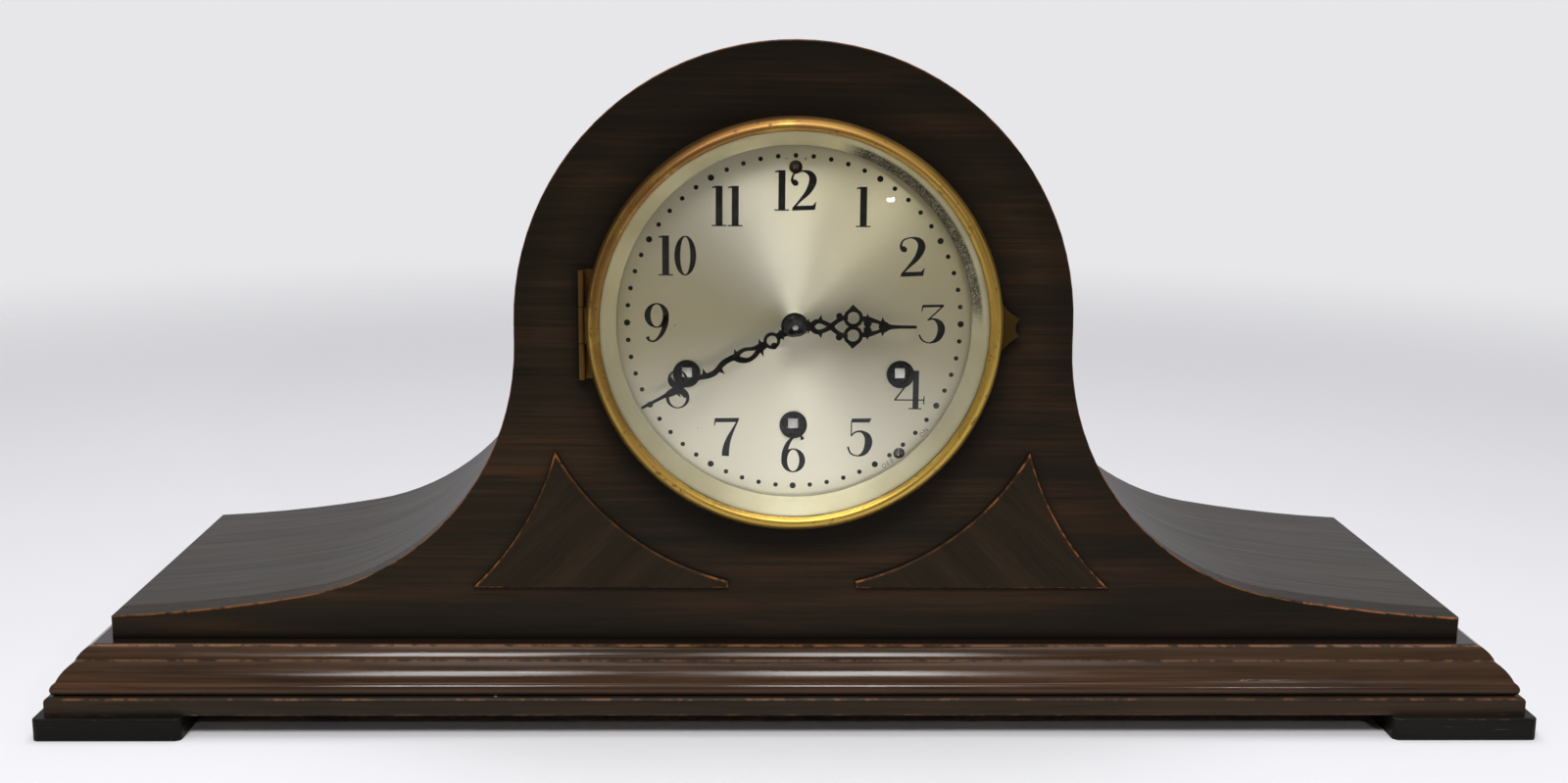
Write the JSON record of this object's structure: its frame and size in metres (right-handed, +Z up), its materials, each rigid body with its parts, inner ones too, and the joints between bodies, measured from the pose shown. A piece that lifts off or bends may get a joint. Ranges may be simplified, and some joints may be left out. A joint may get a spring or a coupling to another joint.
{
  "type": "mantel clock",
  "caption": "Tambour mantel clock with an arched wooden case, hinged domed-glass bezel, silvered dial, turning hands, wound movement, pendulum and chime hammers behind a rear door.",
  "frame": {"origin": "on the surface that the clock stands on, under the middle of the feet", "axes": "+X to the right of the dial, +Y towards the back, +Z up"},
  "size_m": [0.5346, 0.17, 0.2443],
  "materials": {
    "front_wood": "dark mahogany, satin varnish",
    "top_wood": "dark mahogany, satin varnish",
    "overlay_wood": "dark mahogany, worn edges",
    "moulding_wood": "reddish brown mahogany, satin varnish",
    "plinth_wood": "dark mahogany, satin varnish",
    "foot_wood": "near black stain",
    "back_wood": "plain stained board",
    "bezel_brass": "polished, patinated",
    "movement_brass": "lacquered",
    "bezel_glass": "clear convex",
    "sight_silver": "aged silvering",
    "dial_silver": "circular brushed silvering",
    "black_steel": "blued black",
    "steel": "turned",
    "cast_iron": "painted"
  },
  "bodies": {
    "case": {"front_panel": "front_wood", "case_top": "top_wood", "back_panel": "back_wood", "case_floor": "back_wood", "spandrel_overlays": "overlay_wood", "base_moulding": "moulding_wood", "base_plinth": "plinth_wood", "block_feet": "foot_wood", "rear_hinge_case_leaves": "bezel_brass", "rear_hinge_pins": "steel", "bezel_hinge_case_leaf": "bezel_brass", "bezel_hinge_pin": "bezel_brass", "bezel_catch_keeper": "bezel_brass", "dial_plate": "dial_silver", "winding_hole_collars": "black_steel", "dial_screws": "steel", "ratchet_clicks": "steel", "mainsprings": "steel", "movement_front_plate": "movement_brass", "movement_back_plate": "movement_brass", "plate_pillars": "movement_brass", "mounting_posts": "steel", "mounting_screws": "steel", "suspension_cock": "movement_brass", "chime_rods": "steel", "rod_block": "cast_iron", "hammer_rail": "steel"},
    "bezel": {"bezel_ring": "bezel_brass", "bezel_glass": "bezel_glass", "sight_ring": "sight_silver", "bezel_hinge_bezel_leaf": "bezel_brass", "bezel_catch_tab": "bezel_brass"},
    "rear_door": {"rear_door": "back_wood", "rear_hinge_door_leaves": "bezel_brass", "rear_door_knob": "bezel_brass"},
    "minute_hand": {"minute_hand": "black_steel", "hand_nut": "black_steel", "cannon_pinion": "steel"},
    "minute_wheel": {"minute_wheel": "movement_brass"},
    "hour_hand": {"hour_hand": "black_steel", "hour_wheel": "movement_brass"},
    "third_wheel": {"third_wheel": "movement_brass"},
    "centre_wheel": {"centre_wheel": "movement_brass"},
    "second_wheel": {"second_wheel": "movement_brass"},
    "escape_wheel": {"escape_wheel": "movement_brass"},
    "pallets": {"pallets": "steel"},
    "pendulum": {"pendulum_rod": "steel", "pendulum_bob": "movement_brass"},
    "regulator": {"regulator_arbor": "steel"},
    "selector": {"selector_arbor": "steel"},
    "time_barrel": {"time_barrel": "movement_brass"},
    "time_arbor": {"time_winding_arbor": "steel"},
    "strike_barrel": {"strike_barrel": "movement_brass"},
    "strike_arbor": {"strike_winding_arbor": "steel"},
    "chime_barrel": {"chime_barrel": "movement_brass"},
    "chime_arbor": {"chime_winding_arbor": "steel"},
    "hammer_1": {"hammer_1": "movement_brass"},
    "hammer_2": {"hammer_2": "movement_brass"},
    "hammer_3": {"hammer_3": "movement_brass"},
    "hammer_4": {"hammer_4": "movement_brass"}
  },
  "joints": [
    {"name": "bezel_swing", "type": "hinge", "parent": "case", "child": "bezel", "pos_m": [-0.0743, -0.06525, 0.1458], "axis": [0, 0, -1], "range_deg": [0, 115]},
    {"name": "rear_door_swing", "type": "hinge", "parent": "case", "child": "rear_door", "pos_m": [0.05975, 0.07805, 0.1231], "axis": [0, 0, -1], "range_deg": [0, 110]},
    {"name": "minute_hand_turn", "type": "hinge", "parent": "case", "child": "minute_hand", "pos_m": [0, -0.06265, 0.1458], "axis": [0, 1, 0], "continuous": true},
    {"name": "minute_wheel_turn", "type": "hinge", "parent": "case", "child": "minute_wheel", "pos_m": [0.01039, -0.05025, 0.1518], "axis": [0, 1, 0], "continuous": true},
    {"name": "hour_hand_turn", "type": "hinge", "parent": "case", "child": "hour_hand", "pos_m": [0, -0.06265, 0.1458], "axis": [0, 1, 0], "continuous": true},
    {"name": "third_wheel_turn", "type": "hinge", "parent": "case", "child": "third_wheel", "pos_m": [0.00799, -0.04365, 0.15778], "axis": [0, 1, 0], "continuous": true},
    {"name": "centre_wheel_turn", "type": "hinge", "parent": "case", "child": "centre_wheel", "pos_m": [0, -0.04365, 0.1458], "axis": [0, 1, 0], "continuous": true},
    {"name": "second_wheel_turn", "type": "hinge", "parent": "case", "child": "second_wheel", "pos_m": [0, -0.04365, 0.1308], "axis": [0, 1, 0], "continuous": true},
    {"name": "time_barrel_turn", "type": "hinge", "parent": "case", "child": "time_barrel", "pos_m": [0, -0.04365, 0.1093], "axis": [0, 1, 0], "continuous": true},
    {"name": "escape_wheel_turn", "type": "hinge", "parent": "case", "child": "escape_wheel", "pos_m": [0, -0.04365, 0.16878], "axis": [0, 1, 0], "continuous": true},
    {"name": "strike_barrel_turn", "type": "hinge", "parent": "case", "child": "strike_barrel", "pos_m": [-0.0379, -0.04365, 0.1277], "axis": [0, 1, 0], "continuous": true},
    {"name": "chime_barrel_turn", "type": "hinge", "parent": "case", "child": "chime_barrel", "pos_m": [0.0379, -0.04365, 0.1277], "axis": [0, 1, 0], "continuous": true},
    {"name": "pendulum_swing", "type": "hinge", "parent": "case", "child": "pendulum", "pos_m": [0, 0.00335, 0.18258], "axis": [0, 1, 0], "range_deg": [-4, 4]},
    {"name": "pallets_rock", "type": "hinge", "parent": "case", "child": "pallets", "pos_m": [0, -0.04365, 0.18258], "axis": [0, 1, 0], "range_deg": [-4, 4]},
    {"name": "regulator_turn", "type": "hinge", "parent": "case", "child": "regulator", "pos_m": [0, -0.04365, 0.2006], "axis": [0, 1, 0], "range_deg": [-360, 360]},
    {"name": "selector_turn", "type": "hinge", "parent": "case", "child": "selector", "pos_m": [0.03801, -0.05065, 0.09886], "axis": [0, 1, 0], "range_deg": [0, 45]},
    {"name": "time_winding", "type": "hinge", "parent": "case", "child": "time_arbor", "pos_m": [0, -0.04365, 0.1093], "axis": [0, 1, 0], "range_deg": [0, 2700]},
    {"name": "strike_winding", "type": "hinge", "parent": "case", "child": "strike_arbor", "pos_m": [-0.0379, -0.04365, 0.1277], "axis": [0, 1, 0], "range_deg": [0, 2700]},
    {"name": "chime_winding", "type": "hinge", "parent": "case", "child": "chime_arbor", "pos_m": [0.0379, -0.04365, 0.1277], "axis": [0, 1, 0], "range_deg": [0, 2700]},
    {"name": "hammer_1_lift", "type": "hinge", "parent": "case", "child": "hammer_1", "pos_m": [0.062, 0.01735, 0.0921], "axis": [0, -1, 0], "range_deg": [0, 15]},
    {"name": "hammer_2_lift", "type": "hinge", "parent": "case", "child": "hammer_2", "pos_m": [0.062, 0.02535, 0.0921], "axis": [0, -1, 0], "range_deg": [0, 15]},
    {"name": "hammer_3_lift", "type": "hinge", "parent": "case", "child": "hammer_3", "pos_m": [0.062, 0.03335, 0.0921], "axis": [0, -1, 0], "range_deg": [0, 15]},
    {"name": "hammer_4_lift", "type": "hinge", "parent": "case", "child": "hammer_4", "pos_m": [0.062, 0.04135, 0.0921], "axis": [0, -1, 0], "range_deg": [0, 15]}
  ],
  "couplings": [
    {"joint": "minute_wheel_turn", "follows": "minute_hand_turn", "ratio": -0.33333},
    {"joint": "hour_hand_turn", "follows": "minute_hand_turn", "ratio": 0.083333},
    {"joint": "centre_wheel_turn", "follows": "third_wheel_turn", "ratio": -0.125},
    {"joint": "second_wheel_turn", "follows": "third_wheel_turn", "ratio": 0.03125},
    {"joint": "time_barrel_turn", "follows": "third_wheel_turn", "ratio": -0.0041118},
    {"joint": "escape_wheel_turn", "follows": "third_wheel_turn", "ratio": -7.5},
    {"joint": "pallets_rock", "follows": "pendulum_swing", "ratio": 1}
  ]
}
